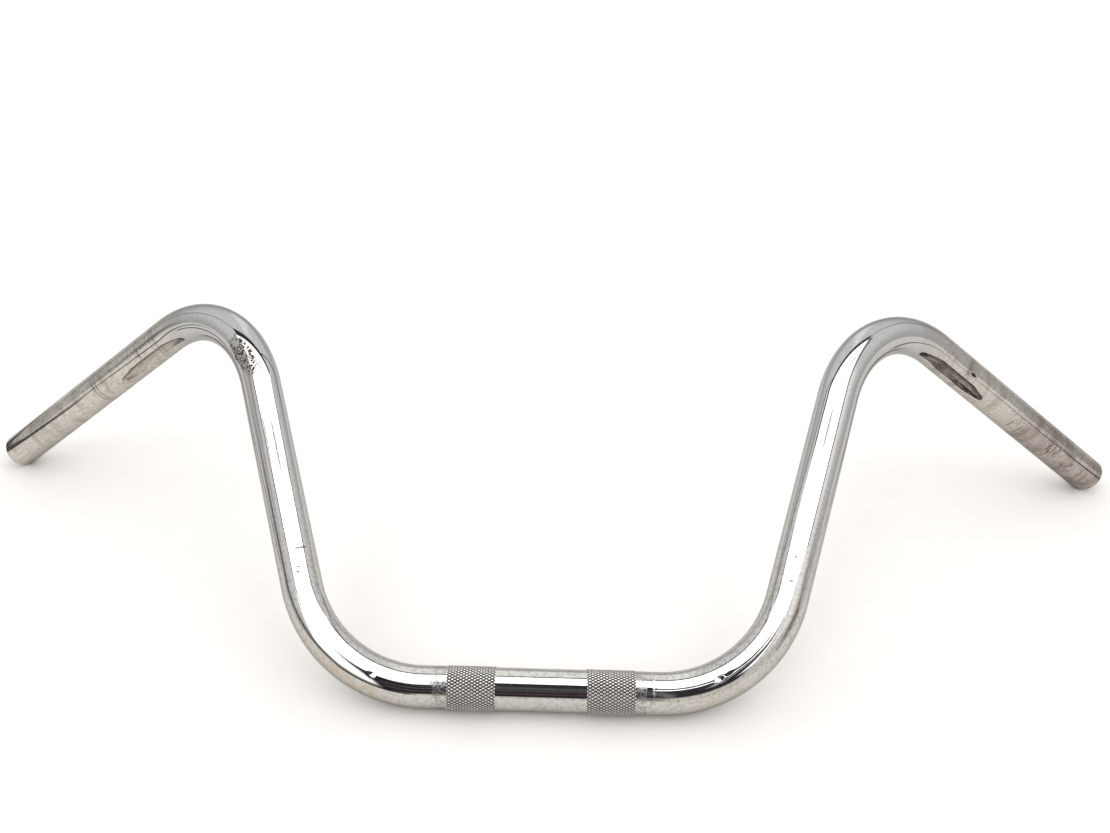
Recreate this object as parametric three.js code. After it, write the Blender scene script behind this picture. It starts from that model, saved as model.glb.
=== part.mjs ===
// A chrome-plated motorcycle handlebar, bent from one open-ended steel tube.
//
// The bar is drawn as it lies on a flat surface: the clamp stretch in the middle and the two tube ends
// touch z = 0, and the two upper bends stand clear of it. X runs along the bar's width, -Y is the side
// of the clamp stretch, and +Z is up. The origin is under the middle of the bar's box. Millimetres.
//
// The tube is named in stretches: the plain middle of the clamp stretch, the two knurled bands that the
// riser clamps bite on, and then, on each side, shoulder, lower bend, riser, upper bend, control stretch
// with its pressed wiring dimple, grip stretch and open end. Left and right are the rider's: with the
// risers upright and the grips swept back, +X is on the rider's left.

import * as THREE from 'three';
import { toCreasedNormals } from 'three/addons/utils/BufferGeometryUtils.js';

// ---- Driving dimensions ----

const tubeRadius = 12.7;
const wallThickness = 2.4;

// Corners of the centreline, measured from the middle of the clamp stretch: across, back and up.
// They are where the straight stretches would meet if the bends were sharp.
const clampCorner = { across: 131, back: 0, up: 0 };
const riserTopCorner = { across: 207, back: 203, up: 165.8 };
const barEndPlace = { across: 408, back: 240 };
const lowerBendRadius = 81;
const upperBendRadius = 71;

// The knurled bands stand a little proud of the tube, and the bar lies on them.
const knurlRadius = 13.1;
const knurlStart = 27;
const knurlWidth = 28.5;

// Lengths along the centreline from each open end of the tube.
const openEndLength = 25;
const gripLength = 115;
const controlLength = 216;

// The wiring dimple: a groove pressed into the wall, from the end of the upper bend outward.
// Its turn is the angle round the tube from the top towards the clamp side.
const dimpleStartFromEnd = 211;
const dimpleLength = 74;
const dimpleHalfWidth = 4.4;
const dimpleDepth = 2.6;
const dimpleTurn = THREE.MathUtils.degToRad(139);

const mouthChamfer = 0.5;
const boreChamfer = 0.3;

// Stretches that follow each other keep this gap.
const stretchGap = 0.3;

// How finely the tube is divided: sides round it, and steps along each kind of stretch.
const tubeSides = 28;
const bendSteps = 10;
const controlSteps = 18;
const creaseAngle = THREE.MathUtils.degToRad(25);

// ---- Centreline ----

// Height of the centreline at a tube end that rests on its lower outer edge, just inside the chamfer.
// The slope of the last straight depends on this height, so it is found by repeated approach.
function restingEndHeight(previousCorner, across, back) {
  const rounds = 12;
  let height = 0;
  for (let round = 0; round < rounds; round++) {
    const direction = new THREE.Vector3(across, back, height).sub(previousCorner).normalize();
    const edgeDrop = tubeRadius * Math.sqrt(1 - direction.z ** 2);
    height = edgeDrop + mouthChamfer * direction.z;
  }
  return height;
}

function cornerPoints() {
  const points = [new THREE.Vector3(0, 0, knurlRadius)];
  for (const corner of [clampCorner, riserTopCorner]) {
    points.push(new THREE.Vector3(corner.across, corner.back, corner.up + knurlRadius));
  }
  const endHeight = restingEndHeight(points[2], barEndPlace.across, barEndPlace.back);
  points.push(new THREE.Vector3(barEndPlace.across, barEndPlace.back, endHeight));
  return points;
}

// One side's centreline as straights and arcs. Each leg knows where it starts along the tube, and its
// direction and "up" there. Up is the top of the clamp stretch, carried round each bend untwisted.
function centrelineLegs() {
  const corners = cornerPoints();
  const radii = [lowerBendRadius, upperBendRadius];
  const legs = [];
  let legStart = corners[0];
  let travelled = 0;
  let up = new THREE.Vector3(0, 0, 1);

  radii.forEach((radius, index) => {
    const corner = corners[index + 1];
    const before = corner.clone().sub(corners[index]).normalize();
    const after = corners[index + 2].clone().sub(corner).normalize();
    const bendAngle = before.angleTo(after);
    const setback = radius * Math.tan(bendAngle / 2);

    const bendStart = corner.clone().addScaledVector(before, -setback);
    const straightLength = bendStart.distanceTo(legStart);
    legs.push({ start: travelled, length: straightLength, point: legStart, direction: before, up });
    travelled += straightLength;

    const hinge = before.clone().cross(after).normalize();
    const centre = bendStart.clone().addScaledVector(hinge.clone().cross(before), radius);
    const arcLength = radius * bendAngle;
    const arc = { hinge, centre, radius };
    legs.push({ start: travelled, length: arcLength, point: bendStart, direction: before, up, ...arc });
    travelled += arcLength;

    up = up.clone().applyAxisAngle(hinge, bendAngle);
    legStart = corner.clone().addScaledVector(after, setback);
  });

  const end = corners[corners.length - 1];
  const direction = end.clone().sub(legStart).normalize();
  legs.push({ start: travelled, length: end.distanceTo(legStart), point: legStart, direction, up });
  return legs;
}

const legs = centrelineLegs();
const [, lowerBend, riser, upperBend, gripStraight] = legs;
const tubeEnd = gripStraight.start + gripStraight.length;

// The centreline's point, direction and up at a distance along the tube from the bar's middle.
function frameAt(distance) {
  const leg = legs.find((candidate) => distance <= candidate.start + candidate.length) ?? gripStraight;
  const along = distance - leg.start;
  if (!leg.hinge) {
    const point = leg.point.clone().addScaledVector(leg.direction, along);
    return { point, direction: leg.direction, up: leg.up };
  }
  const angle = along / leg.radius;
  const spoke = leg.point.clone().sub(leg.centre).applyAxisAngle(leg.hinge, angle);
  return {
    point: leg.centre.clone().add(spoke),
    direction: leg.direction.clone().applyAxisAngle(leg.hinge, angle),
    up: leg.up.clone().applyAxisAngle(leg.hinge, angle),
  };
}

// ---- Tube stretches ----

// The closed outline of a tube wall from one distance to another: radius against distance.
function wallOutline(from, to, outerRadius, steps, isOpenEnd) {
  const boreRadius = tubeRadius - wallThickness;
  const outerTo = isOpenEnd ? to - mouthChamfer : to;
  const boreTo = isOpenEnd ? to - boreChamfer : to;
  const outline = [];
  for (let step = 0; step <= steps; step++) {
    outline.push(new THREE.Vector2(outerRadius, THREE.MathUtils.lerp(from, outerTo, step / steps)));
  }
  if (isOpenEnd) {
    outline.push(new THREE.Vector2(outerRadius - mouthChamfer, to));
    outline.push(new THREE.Vector2(boreRadius + boreChamfer, to));
  }
  for (let step = steps; step >= 0; step--) {
    outline.push(new THREE.Vector2(boreRadius, THREE.MathUtils.lerp(from, boreTo, step / steps)));
  }
  outline.push(outline[0].clone());
  return outline;
}

// How far the dimple pushes the wall inward at a distance along the tube and an angle round it.
function dimpleAt(distance, turn) {
  const middle = tubeEnd - dimpleStartFromEnd + dimpleLength / 2;
  const straightHalf = dimpleLength / 2 - dimpleHalfWidth;
  const past = Math.max(Math.abs(distance - middle) - straightHalf, 0);
  const sideways = tubeRadius * (turn - dimpleTurn);
  const reach = Math.hypot(past, sideways) / dimpleHalfWidth;
  return reach < 1 ? dimpleDepth * (1 - reach ** 2) : 0;
}

// Presses the dimple into a straight tube, then bends the tube along the bar. side is 1 or -1 in X.
function pressAndBend(geometry, side) {
  const position = geometry.attributes.position;
  const vertex = new THREE.Vector3();
  for (let index = 0; index < position.count; index++) {
    vertex.fromBufferAttribute(position, index);
    const distance = vertex.y;
    const turn = Math.atan2(-side * vertex.z, vertex.x);
    const radius = Math.hypot(vertex.x, vertex.z) - dimpleAt(distance, turn);
    const { point, direction, up } = frameAt(distance);
    const rear = up.clone().cross(direction);
    vertex.copy(point);
    vertex.addScaledVector(up, radius * Math.cos(turn));
    vertex.addScaledVector(rear, -radius * Math.sin(turn));
    vertex.x *= side;
    position.setXYZ(index, vertex.x, vertex.y, vertex.z);
  }
  return geometry;
}

function stretchMesh(name, material, stretch, side) {
  const halfGap = stretchGap / 2;
  const from = stretch.from + halfGap;
  const to = stretch.isOpenEnd ? stretch.to : stretch.to - halfGap;
  const outerRadius = stretch.radius ?? tubeRadius;
  const outline = wallOutline(from, to, outerRadius, stretch.steps ?? 1, stretch.isOpenEnd);
  const straightTube = new THREE.LatheGeometry(outline, tubeSides);
  const geometry = toCreasedNormals(pressAndBend(straightTube, side), creaseAngle);
  const mesh = new THREE.Mesh(geometry, material);
  mesh.name = name;
  return mesh;
}

// ---- Materials ----

const chrome = new THREE.MeshStandardMaterial({ color: 0xdcdddf, metalness: 1, roughness: 0.1 });
const knurledChrome = new THREE.MeshStandardMaterial({ color: 0xa7a39f, metalness: 1, roughness: 0.35 });
const tarnishedChrome = new THREE.MeshStandardMaterial({ color: 0xb9b0a9, metalness: 1, roughness: 0.28 });

// ---- The bar ----

const knurlEnd = knurlStart + knurlWidth;
const controlStart = tubeEnd - controlLength;
const gripStart = tubeEnd - gripLength;
const openEndStart = tubeEnd - openEndLength;

const sideStretches = [
  { name: 'knurled_clamp_band', material: knurledChrome, from: knurlStart, to: knurlEnd,
    radius: knurlRadius },
  { name: 'clamp_shoulder', material: chrome, from: knurlEnd, to: lowerBend.start },
  { name: 'lower_bend', material: chrome, from: lowerBend.start, to: riser.start, steps: bendSteps },
  { name: 'riser', material: chrome, from: riser.start, to: upperBend.start },
  { name: 'upper_bend', material: chrome, from: upperBend.start, to: controlStart, steps: bendSteps },
  { name: 'control_section', material: tarnishedChrome, from: controlStart, to: gripStart,
    steps: controlSteps },
  { name: 'grip_section', material: tarnishedChrome, from: gripStart, to: openEndStart },
  { name: 'open_end', material: tarnishedChrome, from: openEndStart, to: tubeEnd, isOpenEnd: true },
];

const handlebar = new THREE.Group();
handlebar.add(stretchMesh('clamp_middle', chrome, { from: -knurlStart, to: knurlStart }, 1));
for (const [sideName, side] of [['left', 1], ['right', -1]]) {
  for (const stretch of sideStretches) {
    handlebar.add(stretchMesh(`${stretch.name}_${sideName}`, stretch.material, stretch, side));
  }
}

// The origin lies under the middle of the bar's box.
const box = new THREE.Box3().setFromObject(handlebar);
handlebar.position.y = -(box.min.y + box.max.y) / 2;

export default handlebar;
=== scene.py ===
"""A chrome-plated motorcycle handlebar, one bent steel tube, lying on a pale floor.

The CAD stretches of the tube are plain facets. Each is replaced by a fine closed tube wall of the same
size that joins its neighbours exactly, with the rolled knurl, the wiring dimples and the dings in its
geometry, and with the finish of worn chrome in its material.
"""
import math

import bpy
import numpy as np
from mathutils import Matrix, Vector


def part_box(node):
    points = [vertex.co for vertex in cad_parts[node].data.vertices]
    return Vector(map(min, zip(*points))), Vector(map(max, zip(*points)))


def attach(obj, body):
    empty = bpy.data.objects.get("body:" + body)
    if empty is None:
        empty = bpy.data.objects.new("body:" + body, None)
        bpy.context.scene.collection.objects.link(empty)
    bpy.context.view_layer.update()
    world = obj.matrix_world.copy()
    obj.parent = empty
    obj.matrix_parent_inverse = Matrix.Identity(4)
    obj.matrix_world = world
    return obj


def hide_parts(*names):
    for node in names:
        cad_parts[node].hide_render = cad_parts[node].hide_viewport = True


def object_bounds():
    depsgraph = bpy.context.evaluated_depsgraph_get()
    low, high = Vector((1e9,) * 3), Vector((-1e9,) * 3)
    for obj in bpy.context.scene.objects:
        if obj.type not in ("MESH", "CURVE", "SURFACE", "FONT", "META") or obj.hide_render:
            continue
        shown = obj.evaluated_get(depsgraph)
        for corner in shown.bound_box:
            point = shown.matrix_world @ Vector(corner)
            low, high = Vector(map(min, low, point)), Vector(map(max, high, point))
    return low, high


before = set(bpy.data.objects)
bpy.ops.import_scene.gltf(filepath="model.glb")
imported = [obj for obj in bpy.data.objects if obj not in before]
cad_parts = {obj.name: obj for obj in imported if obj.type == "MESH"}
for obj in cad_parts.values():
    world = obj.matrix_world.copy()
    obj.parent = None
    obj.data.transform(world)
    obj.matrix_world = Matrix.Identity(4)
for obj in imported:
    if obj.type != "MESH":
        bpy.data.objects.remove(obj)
cad_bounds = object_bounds()

MM = 0.001

# ---- The bar, in millimetres. These repeat the driving dimensions of the CAD part. ----

TUBE_RADIUS = 12.7
BORE_RADIUS = 10.3
CLAMP_CORNER = (131, 0, 0)
RISER_TOP_CORNER = (207, 203, 165.8)
BAR_END_PLACE = (408, 240)
LOWER_BEND_RADIUS = 81
UPPER_BEND_RADIUS = 71

KNURL_RADIUS = 13.1
KNURL_START = 27
KNURL_END = 55.5

OPEN_END_LENGTH = 25
GRIP_LENGTH = 115
CONTROL_LENGTH = 216

DIMPLE_START_FROM_END = 211
DIMPLE_LENGTH = 74
DIMPLE_HALF_WIDTH = 4.4
DIMPLE_DEPTH = 2.6
DIMPLE_TURN = 139
DIMPLE_INNER_TAPER = 24
DIMPLE_OUTER_TAPER = 14
DIMPLE_NARROWING = 1.2

MOUTH_CHAMFER = 0.5
BORE_CHAMFER = 0.3

# ---- The knurl ----

KNURL_STARTS = 41
KNURL_LENGTHWISE_PITCHES = 8.5
KNURL_GROOVE_RADIUS = 12.5
KNURL_FLANK = 0.75
CELLS_PER_PITCH = 8

# ---- How finely the tube is divided ----

TUBE_SIDES = 144
MIDDLE_STEP = 3.0
BORE_STEP = 4.0
RIM_STEPS = 4

# How far away the places are that give a normal, and the angle from which an edge is left sharp.
LOOK_AHEAD = 0.02
SHARP_EDGE = math.radians(50)

# Small dents in the wall: side, distance along the tube, turn in degrees, half length, half width, depth.
DENTS = [
    (-1, 100.6, 41, 2.2, 1.3, 0.22),
    (1, 106.0, 35, 2.8, 1.7, 0.36),
    (1, 112.5, 33, 3.6, 1.4, 0.10),
    (1, 457.0, 95, 2.6, 0.8, 0.45),
]
DENT_STEEPNESS = 1.5


# ---- Centreline ----

def turned(vector, axis, angle):
    """A vector turned about a unit axis. angle may be one number or one for each row."""
    angle = np.asarray(angle)[..., None]
    along_axis = axis * np.dot(vector, axis)
    return along_axis + (vector - along_axis) * np.cos(angle) + np.cross(axis, vector) * np.sin(angle)


def unit(vector):
    return vector / np.linalg.norm(vector)


def resting_end_height(corner):
    """Centreline height of a tube end that rests on its lower edge, found by repeated approach."""
    rounds = 12
    height = 0.0
    for _ in range(rounds):
        direction = unit(np.array([*BAR_END_PLACE, height]) - corner)
        height = TUBE_RADIUS * math.sqrt(1 - direction[2] ** 2) + MOUTH_CHAMFER * direction[2]
    return height


def corner_points():
    lift = np.array([0, 0, KNURL_RADIUS])
    points = [lift, np.array(CLAMP_CORNER) + lift, np.array(RISER_TOP_CORNER) + lift]
    points.append(np.array([*BAR_END_PLACE, resting_end_height(points[2])]))
    return points


def centreline_legs():
    """Straights and arcs of one side, each with its start along the tube, direction and "up" there."""
    corners = corner_points()
    legs = []
    leg_start = corners[0]
    travelled = 0.0
    up = np.array([0.0, 0.0, 1.0])
    for index, radius in enumerate((LOWER_BEND_RADIUS, UPPER_BEND_RADIUS)):
        corner = corners[index + 1]
        before = unit(corner - corners[index])
        after = unit(corners[index + 2] - corner)
        bend_angle = math.acos(np.dot(before, after))
        setback = radius * math.tan(bend_angle / 2)
        bend_start = corner - before * setback
        legs.append(dict(start=travelled, point=leg_start, direction=before, up=up))
        travelled += np.linalg.norm(bend_start - leg_start)
        hinge = unit(np.cross(before, after))
        centre = bend_start + np.cross(hinge, before) * radius
        legs.append(dict(start=travelled, point=bend_start, direction=before, up=up,
                         hinge=hinge, centre=centre, radius=radius))
        travelled += radius * bend_angle
        up = turned(up, hinge, bend_angle)
        leg_start = corner + after * setback
    direction = unit(corners[-1] - leg_start)
    legs.append(dict(start=travelled, point=leg_start, direction=direction, up=up))
    travelled += np.linalg.norm(corners[-1] - leg_start)
    return legs, travelled


LEGS, TUBE_END = centreline_legs()
LEG_STARTS = np.array([leg["start"] for leg in LEGS])
RISER_START = LEGS[2]["start"]
UPPER_BEND_START = LEGS[3]["start"]
CONTROL_START = TUBE_END - CONTROL_LENGTH
GRIP_START = TUBE_END - GRIP_LENGTH
OPEN_END_START = TUBE_END - OPEN_END_LENGTH
DIMPLE_START = TUBE_END - DIMPLE_START_FROM_END
DIMPLE_END = DIMPLE_START + DIMPLE_LENGTH


def frames_at(distance):
    """The centreline's points, directions and ups at an array of distances along the tube."""
    point = np.zeros(distance.shape + (3,))
    direction = np.zeros_like(point)
    up = np.zeros_like(point)
    leg_index = np.clip(np.searchsorted(LEG_STARTS, distance, side="right") - 1, 0, len(LEGS) - 1)
    for index, leg in enumerate(LEGS):
        here = leg_index == index
        along = distance[here] - leg["start"]
        if "hinge" not in leg:
            point[here] = leg["point"] + leg["direction"] * along[:, None]
            direction[here] = leg["direction"]
            up[here] = leg["up"]
            continue
        angle = along / leg["radius"]
        point[here] = leg["centre"] + turned(leg["point"] - leg["centre"], leg["hinge"], angle)
        direction[here] = turned(leg["direction"], leg["hinge"], angle)
        up[here] = turned(leg["up"], leg["hinge"], angle)
    return point, direction, up


# The middle of the clamp stretch in the frame, where the centreline starts, less its height.
clamp_low, clamp_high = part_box("clamp_middle")
ORIGIN = np.array((clamp_low + clamp_high) / 2) - np.array([0, 0, KNURL_RADIUS * MM])


def place(distance, turn, radius, side):
    """Points in the frame, in metres, at distances along and turns round the tube. turn is in radians."""
    point, direction, up = frames_at(distance)
    rear = np.cross(up, direction)
    point = point + up * (radius * np.cos(turn))[..., None] - rear * (radius * np.sin(turn))[..., None]
    return point * np.array([side, 1, 1]) * MM + ORIGIN


# ---- Shape of the wall ----

def dimple_depth(distance, turn):
    """The pressed groove, narrowing to both ends and longer so towards the upper bend."""
    middle = (DIMPLE_START + DIMPLE_END) / 2
    straight_half = DIMPLE_LENGTH / 2 - DIMPLE_HALF_WIDTH
    past = np.maximum(np.abs(distance - middle) - straight_half, 0)
    inner_taper = np.clip(1 - (distance - DIMPLE_START) / DIMPLE_INNER_TAPER, 0, 1)
    outer_taper = np.clip(1 - (DIMPLE_END - distance) / DIMPLE_OUTER_TAPER, 0, 1)
    narrowing = 1 + DIMPLE_NARROWING * (inner_taper + outer_taper)
    sideways = TUBE_RADIUS * (turn - math.radians(DIMPLE_TURN)) * narrowing
    reach = np.hypot(past, sideways) / DIMPLE_HALF_WIDTH
    return DIMPLE_DEPTH * np.clip(1 - reach ** 2, 0, None)


def dent_depth(distance, turn, side):
    depth = np.zeros_like(distance)
    for dent_side, dent_distance, dent_turn, half_length, half_width, dent_depth_here in DENTS:
        if dent_side != side:
            continue
        lengthwise = (distance - dent_distance) / half_length
        sideways = TUBE_RADIUS * (turn - math.radians(dent_turn)) / half_width
        depth += dent_depth_here * np.exp(-(lengthwise ** 2 + sideways ** 2) * DENT_STEEPNESS)
    return depth


def plain_wall(distance, turn, side):
    """Outer radius of the tube with its dimple and dents."""
    return TUBE_RADIUS - dimple_depth(distance, turn) - dent_depth(distance, turn, side)


def away_from_groove(phase):
    """0 in the middle of a groove and 1 halfway to the next."""
    return np.abs(2 * (phase - np.floor(phase)) - 1)


def knurled_wall(distance, turn):
    """Outer radius of a knurled band: worn pyramids between two sets of crossing helical grooves."""
    lengthwise = (distance - KNURL_START) / (KNURL_END - KNURL_START) * KNURL_LENGTHWISE_PITCHES
    around = turn / (2 * math.pi) * KNURL_STARTS
    height = np.minimum(away_from_groove(around + lengthwise), away_from_groove(around - lengthwise))
    height = np.minimum(height / KNURL_FLANK, 1)
    crowned = 1 - (1 - height) ** 2
    return KNURL_GROOVE_RADIUS + (KNURL_RADIUS - KNURL_GROOVE_RADIUS) * crowned


# ---- Meshes ----

def outward_normals(distance, turn, side):
    """Exact normals of the plain wall once bent, from places a little further along and round it."""
    step_turn = LOOK_AHEAD / TUBE_RADIUS

    def at(distance, turn):
        return place(distance, turn, plain_wall(distance, turn, side), side)

    lengthwise = at(distance + LOOK_AHEAD, turn) - at(distance - LOOK_AHEAD, turn)
    around = at(distance, turn + step_turn) - at(distance, turn - step_turn)
    normal = np.cross(around, lengthwise) * side
    return normal / np.linalg.norm(normal, axis=-1, keepdims=True)


def ring_faces(rows, columns, side):
    """Quads of a grid that closes on itself both round the tube and along its outline."""
    row, column = np.meshgrid(np.arange(rows), np.arange(columns), indexing="ij")
    next_row = (row + 1) % rows
    next_column = (column + 1) % columns
    corners = [row * columns + column, row * columns + next_column,
               next_row * columns + next_column, next_row * columns + column]
    if side < 0:
        corners.reverse()
    return np.stack(corners, -1).reshape(-1, 4)


def mesh_object(name, vertices, faces, straight_place, normals=None):
    """A smooth-shaded mesh. straight_place is each vertex's place on the tube before it was bent."""
    mesh = bpy.data.meshes.new(name)
    mesh.from_pydata(vertices.tolist(), [], faces)
    mesh.shade_smooth()
    mesh.set_sharp_from_angle(angle=SHARP_EDGE)
    attribute = mesh.attributes.new("tube_place", "FLOAT_VECTOR", "POINT")
    attribute.data.foreach_set("vector", straight_place.astype(np.float32).ravel())
    if normals is not None:
        mesh.normals_split_custom_set(normals.tolist())
    piece = bpy.data.objects.new(name, mesh)
    bpy.context.scene.collection.objects.link(piece)
    return piece


def straight_places(distance, turn, radius, side):
    """Where points would be on the straight tube, in millimetres: along it, up and forward."""
    return np.stack([side * distance, radius * np.cos(turn), radius * np.sin(turn)], -1)


def rounded_rim(radius, distance, size, start_angle):
    """(distance, radius) pairs of a quarter circle that rounds an edge of the open end."""
    angles = math.radians(start_angle) + np.linspace(0, math.pi / 2, RIM_STEPS + 1)
    return [(distance + size * math.sin(angle), radius + size * math.cos(angle)) for angle in angles]


def wall_outline(start, end, step, is_open_end):
    """The closed outline of the wall as (distance, radius) pairs, and how many of them are outside."""
    outside_end = end - MOUTH_CHAMFER if is_open_end else end
    outside_rows = max(2, round((outside_end - start) / step) + 1)
    outline = [(distance, TUBE_RADIUS) for distance in np.linspace(start, outside_end, outside_rows)]
    bore_end = end
    if is_open_end:
        outline += rounded_rim(TUBE_RADIUS - MOUTH_CHAMFER, outside_end, MOUTH_CHAMFER, 0)[1:]
        bore_end = end - BORE_CHAMFER
        outline += rounded_rim(BORE_RADIUS + BORE_CHAMFER, bore_end, BORE_CHAMFER, 90)[:-1]
    bore_rows = max(2, round((bore_end - start) / BORE_STEP) + 1)
    outline += [(distance, BORE_RADIUS) for distance in np.linspace(bore_end, start, bore_rows)]
    return np.array(outline), outside_rows


def tube_stretch(name, start, end, step, side, is_open_end=False):
    """One stretch of the tube as a closed wall, its outside following plain_wall."""
    outline, outside_rows = wall_outline(start, end, step, is_open_end)
    turns = np.linspace(-math.pi, math.pi, TUBE_SIDES, endpoint=False)
    distance, turn = np.meshgrid(outline[:, 0], turns, indexing="ij")
    radius = np.repeat(outline[:, 1:], TUBE_SIDES, axis=1)
    radius[:outside_rows] = plain_wall(distance[:outside_rows], turn[:outside_rows], side)
    vertices = place(distance, turn, radius, side).reshape(-1, 3)
    faces = ring_faces(len(outline), TUBE_SIDES, side)

    outside = slice(0, outside_rows)
    vertex_normals = np.zeros((len(outline), TUBE_SIDES, 3))
    vertex_normals[outside] = outward_normals(distance[outside], turn[outside], side)
    loop_normals = vertex_normals.reshape(-1, 3)[faces]
    outside_faces = (outside_rows - 1) * TUBE_SIDES
    loop_normals[outside_faces:] = 0
    straight = straight_places(distance, turn, radius, side).reshape(-1, 3)
    return mesh_object(name, vertices, faces.tolist(), straight, loop_normals.reshape(-1, 3))


def knurled_band(name, side):
    """A knurled band. Its grid follows the grooves: each cell is cut both ways by its diagonals."""
    columns = KNURL_STARTS * CELLS_PER_PITCH
    cells_along = round(KNURL_LENGTHWISE_PITCHES * CELLS_PER_PITCH)
    turns = np.linspace(-math.pi, math.pi, columns, endpoint=False)
    distances = np.linspace(KNURL_START, KNURL_END, cells_along + 1)
    distance, turn = np.meshgrid(distances, turns, indexing="ij")
    radius = knurled_wall(distance, turn)

    # End faces close the band down to the tube, and the bore closes it inside.
    ends = np.array([(KNURL_END, TUBE_RADIUS), (KNURL_END, BORE_RADIUS),
                     (KNURL_START, BORE_RADIUS), (KNURL_START, TUBE_RADIUS)])
    end_distance, end_turn = np.meshgrid(ends[:, 0], turns, indexing="ij")
    distance = np.vstack([distance, end_distance])
    turn = np.vstack([turn, end_turn])
    radius = np.vstack([radius, np.repeat(ends[:, 1:], columns, axis=1)])
    grid_faces = ring_faces(len(distance), columns, side)
    cells = cells_along * columns

    half_turn = math.pi / columns
    half_step = (distances[1] - distances[0]) / 2
    middle_distance = (distance[:cells_along] + half_step).ravel()
    middle_turn = (turn[:cells_along] + half_turn).ravel()
    middle_radius = knurled_wall(middle_distance, middle_turn)
    middle_index = distance.size + np.arange(cells)
    corners = grid_faces[:cells]
    triangles = [np.stack([corners[:, edge], corners[:, (edge + 1) % 4], middle_index], -1)
                 for edge in range(4)]

    distance = np.concatenate([distance.ravel(), middle_distance])
    turn = np.concatenate([turn.ravel(), middle_turn])
    radius = np.concatenate([radius.ravel(), middle_radius])
    vertices = place(distance, turn, radius, side)
    straight = straight_places(distance, turn, radius, side)
    faces = np.concatenate(triangles).tolist() + grid_faces[cells:].tolist()
    return mesh_object(name, vertices, faces, straight)


# ---- Shader nodes ----

class Nodes:
    """Short ways to add the nodes of one tree and join them."""

    # Where a Mix node keeps its factor, two colours and result when it mixes colours.
    COLOUR_MIX_INPUTS = (0, 6, 7)
    COLOUR_MIX_OUTPUT = 2

    def __init__(self, tree):
        self.tree = tree
        tree.nodes.clear()

    def add(self, kind, inputs=None, **settings):
        node = self.tree.nodes.new(kind)
        for name, value in settings.items():
            setattr(node, name, value)
        for name, value in (inputs or {}).items():
            self.put(value, node.inputs[name])
        return node

    def put(self, value, socket):
        """Joins an output to a socket, or sets the socket to a plain value."""
        if isinstance(value, bpy.types.NodeSocket):
            self.tree.links.new(value, socket)
        else:
            socket.default_value = value

    def math(self, operation, *values, clamp=False):
        node = self.add("ShaderNodeMath", operation=operation, use_clamp=clamp)
        for value, socket in zip(values, node.inputs):
            self.put(value, socket)
        return node.outputs[0]

    def ramp(self, value, low, high, to_low=0.0, to_high=1.0, smooth=True):
        """value from low..high as to_low..to_high, held at both ends."""
        kind = "SMOOTHSTEP" if smooth else "LINEAR"
        node = self.add("ShaderNodeMapRange", interpolation_type=kind)
        for item, socket in zip((value, low, high, to_low, to_high), node.inputs):
            self.put(item, socket)
        return node.outputs[0]

    def mix_colour(self, factor, first, second):
        node = self.add("ShaderNodeMix", data_type="RGBA")
        for value, index in zip((factor, first, second), self.COLOUR_MIX_INPUTS):
            self.put(value, node.inputs[index])
        return node.outputs[self.COLOUR_MIX_OUTPUT]

    def scaled(self, vector, scale):
        node = self.add("ShaderNodeVectorMath", operation="MULTIPLY")
        self.put(vector, node.inputs[0])
        self.put(scale, node.inputs[1])
        return node.outputs[0]

    def noise(self, vector, scale=1.0, detail=2.0, roughness=0.5):
        node = self.add("ShaderNodeTexNoise", {"Vector": vector, "Scale": scale,
                                               "Detail": detail, "Roughness": roughness})
        return node.outputs[0]


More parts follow.
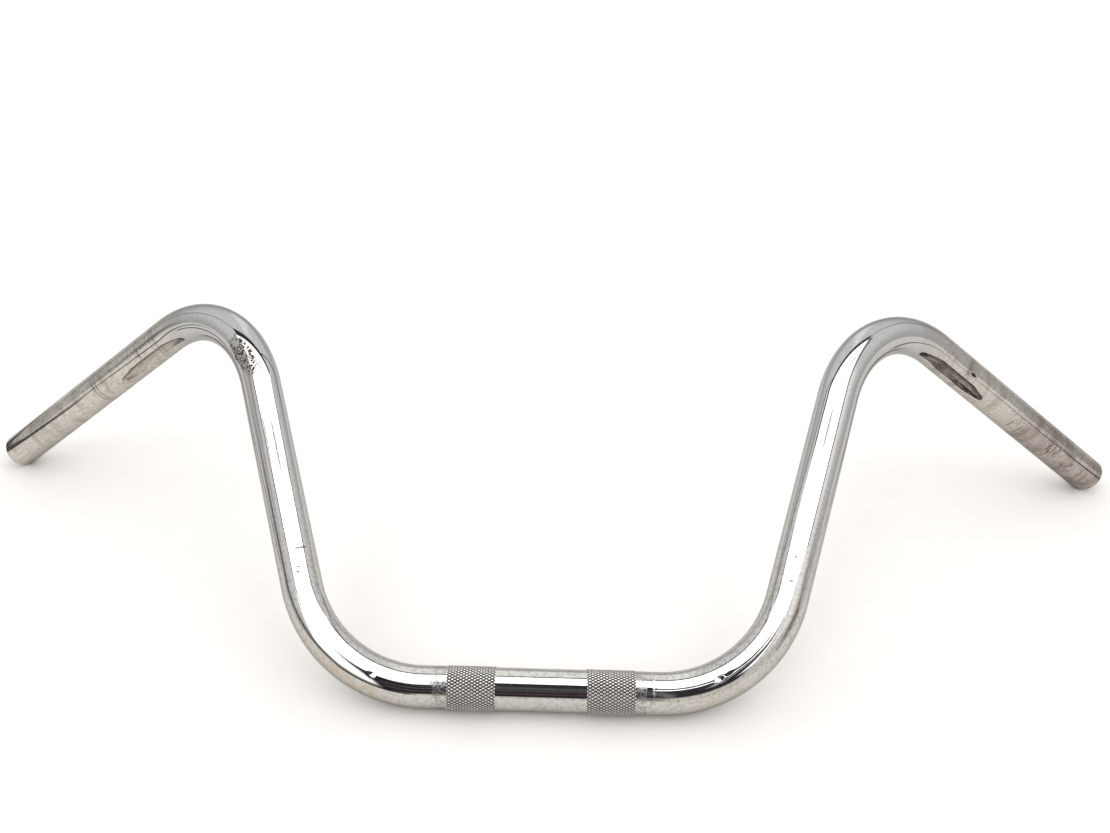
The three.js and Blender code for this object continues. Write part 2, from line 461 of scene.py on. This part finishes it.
class TubeSurface(Nodes):
    """Nodes that know where a shaded point is on the straight tube, in millimetres and degrees."""

    def __init__(self, tree):
        super().__init__(tree)
        self.place = self.add("ShaderNodeAttribute", attribute_name="tube_place").outputs["Vector"]
        parts = self.add("ShaderNodeSeparateXYZ", {0: self.place}).outputs
        self.along, up, forward = parts[0], parts[1], parts[2]
        self.radius = self.math("SQRT", self.math("ADD", self.math("MULTIPLY", up, up),
                                                  self.math("MULTIPLY", forward, forward)))
        self.turn = self.math("DEGREES", self.math("ARCTAN2", forward, up))
        self.around = self.math("MULTIPLY", self.turn, math.radians(TUBE_RADIUS))

    def patch(self, distance, turn, half_length, half_width, softness=0.5, slant=0.0):
        """A soft oval mask. slant is how far it moves round, in millimetres, for each one along."""
        lengthwise = self.math("SUBTRACT", self.along, distance)
        sideways = self.math("SUBTRACT", self.around, math.radians(turn) * TUBE_RADIUS)
        sideways = self.math("SUBTRACT", sideways, self.math("MULTIPLY", lengthwise, slant))
        lengthwise = self.math("DIVIDE", lengthwise, half_length)
        sideways = self.math("DIVIDE", sideways, half_width)
        reach = self.math("ADD", self.math("MULTIPLY", lengthwise, lengthwise),
                          self.math("MULTIPLY", sideways, sideways))
        return self.ramp(self.math("SQRT", reach), 1 - softness, 1, 1, 0)

    def band(self, start, end, softness=0.5):
        """A mask between two distances along the tube, all the way round."""
        low, high = min(start, end), max(start, end)
        after = self.ramp(self.along, low - softness, low + softness)
        before = self.ramp(self.along, high - softness, high + softness, 1, 0)
        return self.math("MULTIPLY", after, before)

    def in_bore(self):
        """1 in the bore, 0 outside. The dimples reach as deep as the bore, so they are left out."""
        inside = self.ramp(self.radius, 10.7, 10.9, 1, 0)
        from_middle = self.math("ABSOLUTE", self.along)
        along_dimple = self.both(self.math("GREATER_THAN", from_middle, DIMPLE_START),
                                 self.math("LESS_THAN", from_middle, DIMPLE_END))
        return self.math("SUBTRACT", inside, along_dimple, clamp=True)

    def tinted(self, colour, mask, strength, tint):
        """colour with tint laid over it where the mask is, at the most this strong."""
        return self.mix_colour(self.math("MULTIPLY", mask, strength), colour, tint)

    def either(self, *masks):
        result = masks[0]
        for mask in masks[1:]:
            result = self.math("MAXIMUM", result, mask)
        return result

    def both(self, first, second):
        return self.math("MULTIPLY", first, second)


def grey(level, warmth=0.0):
    """A colour of that lightness. warmth takes blue away and adds a little red."""
    return (level * (1 + 0.4 * warmth), level, level * (1 - warmth), 1)


# ---- Materials ----

# Worn chrome mirrors less where it is seen edge on.
EDGE_TINT = 0.6


def finished(material, surface, colour, roughness, metallic, bump_height, bump_size):
    """Ends a tube material: the given plating outside, and bare brown steel in the bore."""
    in_bore = surface.in_bore()
    rust = surface.noise(surface.place, scale=0.35, detail=5)
    bore_colour = surface.mix_colour(rust, (0.10, 0.075, 0.055, 1), (0.22, 0.19, 0.17, 1))
    colour = surface.mix_colour(in_bore, colour, bore_colour)
    roughness = surface.math("MAXIMUM", roughness, surface.math("MULTIPLY", in_bore, 0.6))
    bump = surface.add("ShaderNodeBump", {"Strength": 1.0, "Distance": bump_size * MM,
                                          "Height": bump_height})
    shader = surface.add("ShaderNodeBsdfPrincipled", {
        "Base Color": colour, "Roughness": roughness, "Metallic": metallic, "Normal": bump.outputs[0],
        "Specular Tint": grey(EDGE_TINT),
    })
    surface.add("ShaderNodeOutputMaterial", {"Surface": shader.outputs[0]})
    return material


def new_material(name):
    material = bpy.data.materials.new(name)
    material.use_nodes = True
    return material


def new_surface(name):
    material = new_material(name)
    return material, TubeSurface(material.node_tree)


def fine_scratches(surface, amount=0.67):
    """Thin lines along the tube, as polishing and handling leave them."""
    lines = surface.noise(surface.scaled(surface.place, (0.012, 1.5, 1.5)), detail=3, roughness=0.6)
    return surface.ramp(lines, amount, amount + 0.06)


def scattered_specks(surface, spacing, size, share):
    """Small round specks in a share of the cells of a Voronoi pattern."""
    cells = surface.add("ShaderNodeTexVoronoi", {"Vector": surface.place, "Scale": 1 / spacing})
    near = surface.ramp(cells.outputs["Distance"], size * 0.5, size, 1, 0)
    picked = surface.add("ShaderNodeSeparateColor", {0: cells.outputs["Color"]}).outputs[0]
    return surface.both(near, surface.math("LESS_THAN", picked, share))


def clamp_wear(surface):
    """Scuffing outside the knurl, where the edges of the riser clamps have rubbed the plating."""
    zone = surface.either(surface.band(KNURL_END, 62), surface.band(-KNURL_END, -64, 1.5))
    scuffs = surface.noise(surface.scaled(surface.place, (0.5, 0.9, 0.9)), detail=6, roughness=0.75)
    scuffs = surface.ramp(scuffs, 0.44, 0.62)
    return surface.both(zone, scuffs)


def clamp_ring(surface):
    """Where a clamp edge has turned on the left shoulder: an uneven dark score and a dulled ring."""
    ragged = surface.noise(surface.scaled(surface.place, (0.2, 0.5, 0.5)), detail=4, roughness=0.7)
    score = surface.both(surface.band(64.0, 64.7, 0.3), surface.ramp(ragged, 0.44, 0.58, 0, 0.5))
    dulled = surface.both(surface.band(65.4, 66.8, 0.3), surface.ramp(ragged, 0.60, 0.45))
    return score, dulled


def riser_marks(surface):
    """Small handling marks on the lower bends and risers: one score across and thin lines along."""
    broken = surface.noise(surface.scaled(surface.place, (0.25, 1.0, 1.0)), detail=3)
    lines = surface.either(
        surface.patch(-263, 24, 32, 0.9, 0.7),
        surface.patch(-270, 46, 34, 0.7, 0.7),
        surface.patch(283, 26, 26, 0.8, 0.7),
    )
    lines = surface.both(lines, surface.ramp(broken, 0.32, 0.44, 0.2, 1))
    nicks = surface.either(
        surface.patch(-181, 34, 0.8, 1.6, 0.4),
        surface.patch(-184, 30, 0.7, 1.1, 0.4),
        surface.patch(183, 30, 0.8, 1.5, 0.4),
        surface.patch(198, 27, 1.4, 0.7, 0.4),
    )
    score_across = surface.patch(-195.5, 14, 0.85, 5.2, 0.5)
    return surface.either(lines, nicks, score_across)


def pitting(surface):
    """Rust pits on the right riser, just under its upper bend, and the browned plating they stand in."""
    patch = surface.patch(-329, 59, 22, 9.2, 0.6, slant=-0.10)
    trail = surface.patch(-306, 56, 16, 6.0, 0.9)
    ragged = surface.noise(surface.place, scale=0.45, detail=3, roughness=0.7)
    browned = surface.ramp(surface.math("ADD", patch, surface.math("MULTIPLY", ragged, 0.8)), 0.75, 1.05)
    dense = surface.both(scattered_specks(surface, spacing=1.5, size=0.70, share=0.85), browned)
    stray = surface.both(scattered_specks(surface, spacing=2.1, size=0.28, share=0.35), trail)
    return surface.either(dense, stray), browned


def shoulder_stains(surface):
    """Yellowed plating low on the front of the right shoulder and lower bend, and less on the left."""
    clouds = surface.noise(surface.scaled(surface.place, (0.12, 0.08, 0.08)), detail=4, roughness=0.65)
    low_front = surface.either(surface.patch(-115, 100, 50, 12, 0.8),
                               surface.math("MULTIPLY", surface.patch(105, 100, 50, 10, 0.8), 0.5))
    return surface.both(low_front, surface.ramp(clouds, 0.42, 0.62, 0.2, 0.8))


def chrome_plate():
    material, surface = new_surface("worn_chrome_plate")
    scratches = fine_scratches(surface)
    specks = scattered_specks(surface, spacing=6, size=0.07, share=0.15)
    wear = clamp_wear(surface)
    pits, browned = pitting(surface)
    score, rubbed_ring = clamp_ring(surface)
    marks = surface.either(specks, score, riser_marks(surface))
    smudges = surface.noise(surface.place, scale=0.035, detail=4)

    mottling = surface.noise(surface.place, scale=0.45, detail=5, roughness=0.7)
    from_middle = surface.math("ABSOLUTE", surface.along)
    on_riser = surface.ramp(from_middle, 150, 300)
    colour = surface.mix_colour(smudges, grey(0.53, 0.01), grey(0.58, 0.03))
    # The risers' plating is a little darker: painted shade, standing in for the shaded floor they mirror.
    colour = surface.mix_colour(on_riser, colour, grey(0.51, 0.0))
    fine_mottling = surface.both(surface.ramp(mottling, 0.42, 0.66, 0, 0.7),
                                 surface.ramp(on_riser, 0, 1, 1, 0.4))
    colour = surface.mix_colour(fine_mottling, colour, grey(0.34, 0.16))
    colour = surface.mix_colour(shoulder_stains(surface), colour, (0.50, 0.42, 0.32, 1))
    colour = surface.tinted(colour, scratches, 0.3, grey(0.36))
    colour = surface.tinted(colour, wear, 0.8, grey(0.22, 0.03))
    colour = surface.tinted(colour, marks, 0.85, grey(0.06, 0.1))
    colour = surface.tinted(colour, browned, 0.4, (0.27, 0.225, 0.19, 1))
    colour = surface.mix_colour(pits, colour, (0.03, 0.02, 0.017, 1))

    roughness = surface.ramp(smudges, 0.3, 0.7, 0.025, 0.07)
    roughness = surface.either(roughness, surface.math("MULTIPLY", scratches, 0.16),
                               surface.math("MULTIPLY", surface.either(wear, rubbed_ring), 0.42),
                               surface.math("MULTIPLY", pits, 0.8))
    metallic = surface.math("SUBTRACT", 1.0, surface.math("MULTIPLY", pits, 0.8))
    ripples = surface.noise(surface.scaled(surface.place, (0.03, 0.12, 0.12)), detail=1)
    height = surface.math("SUBTRACT", surface.math("MULTIPLY", ripples, 0.5),
                          surface.either(surface.math("MULTIPLY", wear, 0.25), pits))
    return finished(material, surface, colour, roughness, metallic, height, 0.06)


def knurled_chrome():
    material, surface = new_surface("knurled_chrome")
    depth = surface.ramp(surface.radius, KNURL_GROOVE_RADIUS, KNURL_RADIUS, smooth=False)
    knurl_noise = surface.noise(surface.place, scale=0.5, detail=5, roughness=0.65)
    # Near black in the grooves: old dirt, and painted shade in the recesses.
    groove_dirt_and_shade = surface.ramp(surface.math("SUBTRACT", depth, surface.math("MULTIPLY", knurl_noise, 0.35)),
                             0.20, 0.60, 1, 0)
    polish = surface.ramp(depth, 0.75, 1.0)
    colour = surface.mix_colour(polish, grey(0.34, 0.06), grey(0.64, 0.03))
    colour = surface.tinted(colour, groove_dirt_and_shade, 0.97, (0.020, 0.016, 0.013, 1))
    roughness = surface.math("ADD", surface.ramp(groove_dirt_and_shade, 0, 1, 0.12, 0.5),
                             surface.math("MULTIPLY", knurl_noise, 0.10))
    metallic = surface.ramp(groove_dirt_and_shade, 0, 1, 1.0, 0.5)
    height = surface.noise(surface.place, scale=2.5, detail=4)
    return finished(material, surface, colour, roughness, metallic, height, 0.05)


def dimple_dirt_and_shade(surface):
    """Old dirt in the wiring dimples: a brown film, and black in the narrow end and along the rims, which
    is dirt and painted shade.

    The left dimple is the dirtier one.
    """
    pressed = surface.ramp(surface.radius, TUBE_RADIUS - 0.5, TUBE_RADIUS - 0.1, 1, 0)
    on_left = surface.ramp(surface.along, -20, 20)
    streaky = surface.noise(surface.scaled(surface.place, (0.07, 0.45, 0.45)), detail=4, roughness=0.7)
    film = surface.math("ADD", surface.ramp(streaky, 0.38, 0.62, 0.15, 0.55),
                        surface.math("MULTIPLY", on_left, 0.42))
    from_middle = surface.math("ABSOLUTE", surface.along)
    narrow_end = surface.ramp(from_middle, DIMPLE_START + 6, DIMPLE_START + 20, 1, 0)
    lower_rim = surface.both(surface.ramp(surface.turn, DIMPLE_TURN + 4, DIMPLE_TURN + 9),
                             surface.ramp(from_middle, DIMPLE_END - 34, DIMPLE_END - 26, 0.35, 1))
    lower_rim = surface.both(lower_rim, on_left)
    upper_rim = surface.ramp(surface.turn, DIMPLE_TURN - 15, DIMPLE_TURN - 10, 0.9, 0)
    # Black along the rims and in the narrow end: old dirt and painted shade of the pressed walls.
    soot_and_shade = surface.either(narrow_end, lower_rim, upper_rim)
    soot_and_shade = surface.both(soot_and_shade, surface.ramp(streaky, 0.36, 0.50, 0.35, 1))
    soot_and_shade = surface.both(soot_and_shade, surface.ramp(on_left, 0, 1, 0.75, 1))
    return surface.both(film, pressed), surface.both(soot_and_shade, pressed)


def lever_stains(surface):
    """Faint grey rings round the tube, where lever clamps have been."""
    uneven = surface.noise(surface.scaled(surface.place, (0.5, 0.12, 0.12)), detail=4, roughness=0.7)
    rings = surface.either(surface.band(-430, -436, 1.5), surface.band(-449, -451.5, 0.8),
                           surface.band(430, 433, 0.8), surface.band(450, 455, 1.5))
    return surface.both(rings, surface.ramp(uneven, 0.42, 0.62, 0, 0.65))


def left_grip_stains(surface):
    """Where brown stains lie thickest on the lower side of the left grip."""
    clouds = surface.noise(surface.place, scale=0.07, detail=2)
    return surface.ramp(clouds, 0.35, 0.55)


def tarnished_chrome():
    material, surface = new_surface("tarnished_chrome")
    smears = surface.noise(surface.scaled(surface.place, (0.10, 0.05, 0.05)), detail=6, roughness=0.65)
    smears = surface.ramp(smears, 0.45, 0.68)
    rings = surface.noise(surface.scaled(surface.place, (0.9, 0.03, 0.03)), detail=4, roughness=0.7)
    rings = surface.ramp(rings, 0.54, 0.68)
    grain = surface.noise(surface.place, scale=0.6, detail=6, roughness=0.7)
    specks = scattered_specks(surface, spacing=5, size=0.09, share=0.08)
    long_scratch = surface.patch(565, 93, 22, 0.35, 0.6)
    ring_marks = surface.either(
        surface.band(-500.0, -500.7, 0.25),
        surface.both(surface.band(-502.8, -503.3, 0.2), surface.patch(-503, 130, 8, 16, 0.5)),
        surface.both(surface.band(512.5, 513.4, 0.3), surface.patch(513, 141, 8, 6, 0.6)),
        surface.both(surface.band(521.8, 522.8, 0.3), surface.patch(522, 141, 8, 6, 0.6)),
    )
    nick = surface.patch(457, 95, 3.2, 1.3, 0.3)
    bent_lines = surface.noise(surface.scaled(surface.place, (0.35, 0.07, 0.07)), detail=3, roughness=0.6)
    arcs = surface.both(surface.ramp(bent_lines, 0.54, 0.62),
                        surface.both(surface.patch(568, 133, 56, 12, 0.7), left_grip_stains(surface)))

    left_grip = surface.ramp(surface.along, 500, 530)
    left_side = surface.ramp(surface.along, -20, 20)
    clean = surface.mix_colour(left_side, (0.62, 0.590, 0.545, 1), (0.57, 0.535, 0.50, 1))
    clean = surface.mix_colour(left_grip, clean, (0.47, 0.43, 0.40, 1))
    dirty = surface.mix_colour(left_grip, (0.34, 0.305, 0.27, 1), (0.22, 0.18, 0.16, 1))
    colour = surface.mix_colour(surface.math("MULTIPLY", smears, 0.7), clean, dirty)
    colour = surface.tinted(colour, rings, 0.5, dirty)
    colour = surface.mix_colour(surface.ramp(grain, 0.44, 0.64, 0, 0.65), colour, dirty)
    colour = surface.tinted(colour, arcs, 0.9, (0.13, 0.095, 0.085, 1))
    colour = surface.mix_colour(lever_stains(surface), colour, grey(0.17, 0.05))

    # The tarnish fades in from the plating of the upper bend.
    from_middle = surface.math("ABSOLUTE", surface.along)
    ragged = surface.math("MULTIPLY", surface.noise(surface.place, scale=0.06, detail=4), 40)
    tarnished = surface.ramp(surface.math("ADD", from_middle, ragged),
                             CONTROL_START + 15, CONTROL_START + 60)
    colour = surface.mix_colour(tarnished, grey(0.46, 0.01), colour)

    film, soot_and_shade = dimple_dirt_and_shade(surface)
    marks = surface.either(specks, long_scratch, ring_marks)
    colour = surface.tinted(colour, marks, 0.8, grey(0.06, 0.1))
    film_colour = surface.mix_colour(left_side, (0.27, 0.225, 0.18, 1), (0.085, 0.06, 0.05, 1))
    colour = surface.mix_colour(film, colour, film_colour)
    # Black in the dimples' rims and narrow ends is old dirt and painted shade; the nick is black too.
    colour = surface.mix_colour(surface.either(soot_and_shade, nick), colour, (0.016, 0.011, 0.010, 1))

    dulled = surface.math("ADD", surface.ramp(smears, 0, 1, 0.03, 0.09),
                          surface.ramp(grain, 0.4, 0.8, 0.0, 0.06))
    roughness = surface.math("MAXIMUM", surface.math("MULTIPLY", dulled, tarnished), 0.04)
    roughness = surface.either(roughness, surface.math("MULTIPLY", film, 0.5))
    metallic = surface.ramp(surface.either(film, soot_and_shade, nick), 0, 1, 1, 0.4)
    height = surface.math("SUBTRACT", surface.math("MULTIPLY", grain, 0.5), marks)
    return finished(material, surface, colour, roughness, metallic, height, 0.03)


def floor_material():
    material = new_material("pale_floor")
    nodes = Nodes(material.node_tree)
    place_on_floor = nodes.add("ShaderNodeTexCoord").outputs["Object"]
    grain = nodes.noise(place_on_floor, scale=40, detail=6)
    colour = nodes.mix_colour(grain, (0.79, 0.77, 0.742, 1), (0.82, 0.80, 0.775, 1))
    bump = nodes.add("ShaderNodeBump", {"Strength": 0.1, "Distance": 0.2 * MM, "Height": grain})
    shader = nodes.add("ShaderNodeBsdfPrincipled", {"Base Color": colour, "Roughness": 0.8,
                                                    "Specular IOR Level": 0.1, "Normal": bump.outputs[0]})
    nodes.add("ShaderNodeOutputMaterial", {"Surface": shader.outputs[0]})
    return material


# ---- The bar's pieces ----

# Each side's stretches: name, start, end, step along the tube, material slot.
SIDE_STRETCHES = [
    ("clamp_shoulder", KNURL_END, LEGS[1]["start"], 1.5, "chrome_plate"),
    ("lower_bend", LEGS[1]["start"], RISER_START, 0.9, "chrome_plate"),
    ("riser", RISER_START, UPPER_BEND_START, 2.5, "chrome_plate"),
    ("upper_bend", UPPER_BEND_START, CONTROL_START, 1.2, "chrome_plate"),
    ("control_section", CONTROL_START, GRIP_START, 0.7, "tarnished_chrome"),
    ("grip_section", GRIP_START, OPEN_END_START, 2.5, "tarnished_chrome"),
    ("open_end", OPEN_END_START, TUBE_END, 1.5, "tarnished_chrome"),
]


def add_piece(piece, node, material):
    """Stands a piece in for its CAD node, in that slot's finish."""
    piece.data.materials.append(material)
    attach(piece, "root")
    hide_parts(node)


def build_bar():
    finishes = {
        "chrome_plate": chrome_plate(),
        "knurled_chrome": knurled_chrome(),
        "tarnished_chrome": tarnished_chrome(),
    }
    # The middle of the clamp stretch is the only one that crosses the bar's middle.
    middle = tube_stretch("middle_tube", -KNURL_START, KNURL_START, MIDDLE_STEP, 1)
    add_piece(middle, "clamp_middle", finishes["chrome_plate"])
    for side_name, side in (("left", 1), ("right", -1)):
        band = knurled_band(f"knurled_band_{side_name}", side)
        add_piece(band, f"knurled_clamp_band_{side_name}", finishes["knurled_chrome"])
        for stretch, start, end, step, slot in SIDE_STRETCHES:
            is_open_end = stretch == "open_end"
            piece = tube_stretch(f"{stretch}_tube_{side_name}", start, end, step, side, is_open_end)
            add_piece(piece, f"{stretch}_{side_name}", finishes[slot])


# ---- Studio ----

FLOOR_HALF_SIZE = 30.0
BACKDROP_COLOUR = (1.0, 0.985, 0.965, 1)

# What the chrome mirrors: soft patches of light and dark in the room round the bar, laid over each other
# in this order. Azimuth (0 is behind the bar, 90 on its +X side), elevation, half width, half height and
# softness in degrees, then a colour as strength of light. Left is the rider's left, +X.
ROOM = [
    (0, 40, 9, 22, 4, (1.35, 1.35, 1.34)),                  # rear wall stripe
    (46, 30, 1.5, 28, 1, (0.22, 0.22, 0.22)),               # left rear seam
    (-64, 30, 1.5, 28, 1, (0.30, 0.30, 0.30)),              # right rear seam
    (-147, 38, 14, 22, 3, (2.6, 2.6, 2.6)),                 # right light panel
    (122, 48, 22, 15, 5, (1.45, 1.44, 1.40)),               # left light panel
    (-104, 38, 6, 16, 4, (0.62, 0.55, 0.52)),               # right brown streak
    (-174, 33, 14, 30, 2, (0.035, 0.032, 0.038)),           # front dark
    (180, 52, 8, 8, 5, (0.13, 0.13, 0.135)),                # front dim part
    (-176, 38, 12, 1.0, 0.8, (0.30, 0.27, 0.28)),           # front thin line
    (-176, 24, 12, 4, 2, (0.13, 0.085, 0.10)),              # front purple part
    (161, 36, 11, 26, 3, (0.05, 0.045, 0.055)),             # left front dark
    (152, 46, 2.5, 10, 1.5, (2.2, 2.2, 2.3)),               # left front strip
    (162, 52, 1.0, 12, 1, (0.9, 0.9, 0.95)),                # left front thin strip
    (128, 15, 22, 7, 3, (0.46, 0.34, 0.31)),                # left brown fringe
    (150, 8, 24, 14, 4, (0.95, 0.89, 0.82)),                # left front beige
    (178, 0, 16, 8, 3, (0.95, 0.89, 0.82)),                 # front beige
    (-155, 4, 16, 4, 2, (0.05, 0.045, 0.05)),               # right low dark
    (-118, 9, 24, 5, 3, (0.22, 0.21, 0.21)),                # right low grey
]


def room_light():
    """The world: plain and pale to the camera, and a simple room to everything else."""
    world = bpy.data.worlds.new("studio_room")
    bpy.context.scene.world = world
    world.use_nodes = True
    nodes = Nodes(world.node_tree)
    direction = nodes.add("ShaderNodeTexCoord").outputs["Generated"]
    parts = nodes.add("ShaderNodeSeparateXYZ", {0: direction}).outputs
    azimuth = nodes.math("DEGREES", nodes.math("ARCTAN2", parts[0], parts[1]))
    elevation = nodes.math("DEGREES", nodes.math("ARCSINE", parts[2]))
    height = nodes.ramp(elevation, 5, 35)
    colour = nodes.mix_colour(height, (0.70, 0.70, 0.70, 1), (1.03, 1.03, 1.04, 1))
    for patch_azimuth, patch_elevation, half_width, half_height, softness, light in ROOM:
        aside = nodes.math("SUBTRACT", azimuth, patch_azimuth)
        aside = nodes.math("ABSOLUTE", nodes.math("WRAP", aside, 180, -180))
        above = nodes.math("ABSOLUTE", nodes.math("SUBTRACT", elevation, patch_elevation))
        mask = nodes.math("MULTIPLY",
                          nodes.ramp(aside, half_width - softness, half_width + softness, 1, 0),
                          nodes.ramp(above, half_height - softness, half_height + softness, 1, 0))
        colour = nodes.mix_colour(mask, colour, (*light, 1))
    seen_by_camera = nodes.add("ShaderNodeLightPath").outputs["Is Camera Ray"]
    colour = nodes.mix_colour(seen_by_camera, colour, BACKDROP_COLOUR)
    background = nodes.add("ShaderNodeBackground", {"Color": colour, "Strength": 1.0})
    nodes.add("ShaderNodeOutputWorld", {"Surface": background.outputs[0]})


def flat_sheet(name, corners, material):
    """A sheet of one face that stands in the studio."""
    mesh = bpy.data.meshes.new(name)
    mesh.from_pydata(corners, [], [(0, 1, 2, 3)])
    mesh.materials.append(material)
    sheet = bpy.data.objects.new(name, mesh)
    bpy.context.scene.collection.objects.link(sheet)
    return sheet


def add_floor():
    size = FLOOR_HALF_SIZE
    height = cad_bounds[0][2]
    corners = [(-size, -size, height), (size, -size, height), (size, size, height), (-size, size, height)]
    flat_sheet("floor", corners, floor_material())


# Lights and cards stand round the bar, in metres from the middle of the clamp stretch on the floor.
CLAMP_MIDDLE = np.array([ORIGIN[0], ORIGIN[1], 0])
UP = np.array([0, 0, 1])

# The soft light over the bar is a grid of panels with thin seams between them, turned a little.
PANEL_HEIGHT = 0.75
PANEL_TURN = math.radians(7.5)
PANEL_BRIGHTNESS = 2.1
PANEL_SEAM = 0.025
PANEL_EDGES_ACROSS = (-0.64, -0.44, 0.40, 0.58)
PANEL_EDGES_BACK = (-0.45, 0.13, 0.34)
TRIM_WIDTH = 0.09

# The outer edges of that grid, where its dark trim begins.
PANELS_START_X, PANELS_END_X = PANEL_EDGES_ACROSS[0], PANEL_EDGES_ACROSS[-1]
PANELS_FRONT, PANELS_REAR = PANEL_EDGES_BACK[0], PANEL_EDGES_BACK[-1]

# Heights of the cards over the clamp stretch and of the strips that lie almost on the floor.
FRONT_CARD_HEIGHT = 0.30
FLOOR_LINE_HEIGHT = 0.003

# Cards that only the polish of the bar mirrors: name, low corner, high corner, light and turn.
# Left and right are the rider's, as everywhere: +X is left.
CARDS = [
    ("front_card", (-0.09, -0.175, FRONT_CARD_HEIGHT), (0.095, -0.066, FRONT_CARD_HEIGHT), 0.05, 0),
    ("front_card_tip", (0.095, -0.135, FRONT_CARD_HEIGHT), (0.150, -0.095, FRONT_CARD_HEIGHT), 0.08, 0),
    ("rear_trim", (PANELS_START_X + TRIM_WIDTH, PANELS_REAR, PANEL_HEIGHT),
     (PANELS_END_X, PANELS_REAR + TRIM_WIDTH, PANEL_HEIGHT), 0.06, PANEL_TURN),
    ("left_trim", (PANELS_END_X, PANELS_FRONT, PANEL_HEIGHT),
     (PANELS_END_X + TRIM_WIDTH, PANELS_REAR, PANEL_HEIGHT), 0.25, PANEL_TURN),
    ("right_trim", (PANELS_START_X - TRIM_WIDTH, PANELS_FRONT, PANEL_HEIGHT),
     (PANELS_START_X, PANELS_REAR, PANEL_HEIGHT), 0.25, PANEL_TURN),
    ("right_floor_line", (-1.60, -0.50, FLOOR_LINE_HEIGHT), (-0.50, -0.36, FLOOR_LINE_HEIGHT),
     0.04, math.radians(-22.2)),
    ("left_floor_line", (0.20, 0.465, FLOOR_LINE_HEIGHT), (1.20, 0.505, FLOOR_LINE_HEIGHT),
     0.30, math.radians(-41.2)),
    ("right_low_card", (0.06, 0.62, 0), (0.45, 0.62, 0.028), 0.13, math.radians(90)),
]

# A large high light that only lights the floor, and evenly.
FILL_HEIGHT = 3.5
FILL_SIZE = 40.0
FILL_POWER = 2000


def area_light(name, location, width, depth, power):
    """A rectangle of light that faces down."""
    data = bpy.data.lights.new(name, "AREA")
    data.shape = "RECTANGLE"
    data.size = width
    data.size_y = depth
    data.energy = power
    light = bpy.data.objects.new(name, data)
    light.location = location
    bpy.context.scene.collection.objects.link(light)
    return light


def add_lights():
    for start_x, end_x in zip(PANEL_EDGES_ACROSS, PANEL_EDGES_ACROSS[1:]):
        for front, rear in zip(PANEL_EDGES_BACK, PANEL_EDGES_BACK[1:]):
            middle = np.array([(start_x + end_x) / 2, (front + rear) / 2, PANEL_HEIGHT])
            centre = turned(middle, UP, PANEL_TURN)
            width = end_x - start_x - PANEL_SEAM
            depth = rear - front - PANEL_SEAM
            power = PANEL_BRIGHTNESS * math.pi * width * depth
            panel = area_light("panel", centre + CLAMP_MIDDLE, width, depth, power)
            panel.rotation_euler.z = PANEL_TURN
            panel.visible_diffuse = False
    fill = area_light("floor_fill", (0, 0, FILL_HEIGHT), FILL_SIZE, FILL_SIZE, FILL_POWER)
    fill.visible_glossy = False


def add_cards():
    for name, (start_x, front, low), (end_x, rear, high), light, turn in CARDS:
        material = new_material(name)
        nodes = Nodes(material.node_tree)
        emission = nodes.add("ShaderNodeEmission", {"Color": grey(light), "Strength": 1.0})
        nodes.add("ShaderNodeOutputMaterial", {"Surface": emission.outputs[0]})
        corners = [(start_x, front, low), (end_x, front, low), (end_x, rear, high), (start_x, rear, high)]
        card = flat_sheet(name, corners, material)
        card.location = CLAMP_MIDDLE
        card.rotation_euler.z = turn
        card.visible_camera = False
        card.visible_diffuse = False
        card.visible_shadow = False


# The camera stands in front of the clamp stretch and looks down at the bar. Metres, degrees, and
# millimetres of lens and sensor.
CAMERA_ACROSS = -0.0007
CAMERA_IN_FRONT = 0.5067
CAMERA_HEIGHT = 0.5354
CAMERA_DOWN = 32.37
CAMERA_TO_LEFT = 2.29
CAMERA_LENS = 38.57
CAMERA_SHIFT = (0.0445, -0.0109)
CAMERA_SENSOR_WIDTH = 36


def add_camera():
    data = bpy.data.cameras.new("camera")
    data.lens = CAMERA_LENS
    data.sensor_width = CAMERA_SENSOR_WIDTH
    data.shift_x, data.shift_y = CAMERA_SHIFT
    data.clip_start = 0.01
    camera = bpy.data.objects.new("camera", data)
    camera.location = (ORIGIN[0] + CAMERA_ACROSS, ORIGIN[1] - CAMERA_IN_FRONT, CAMERA_HEIGHT)
    camera.rotation_euler = (math.radians(90 - CAMERA_DOWN), 0, math.radians(CAMERA_TO_LEFT))
    bpy.context.scene.collection.objects.link(camera)
    bpy.context.scene.camera = camera


add_camera()
room_light()
add_lights()
add_cards()
add_floor()
build_bar()
bpy.context.scene.view_settings.view_transform = "Standard"
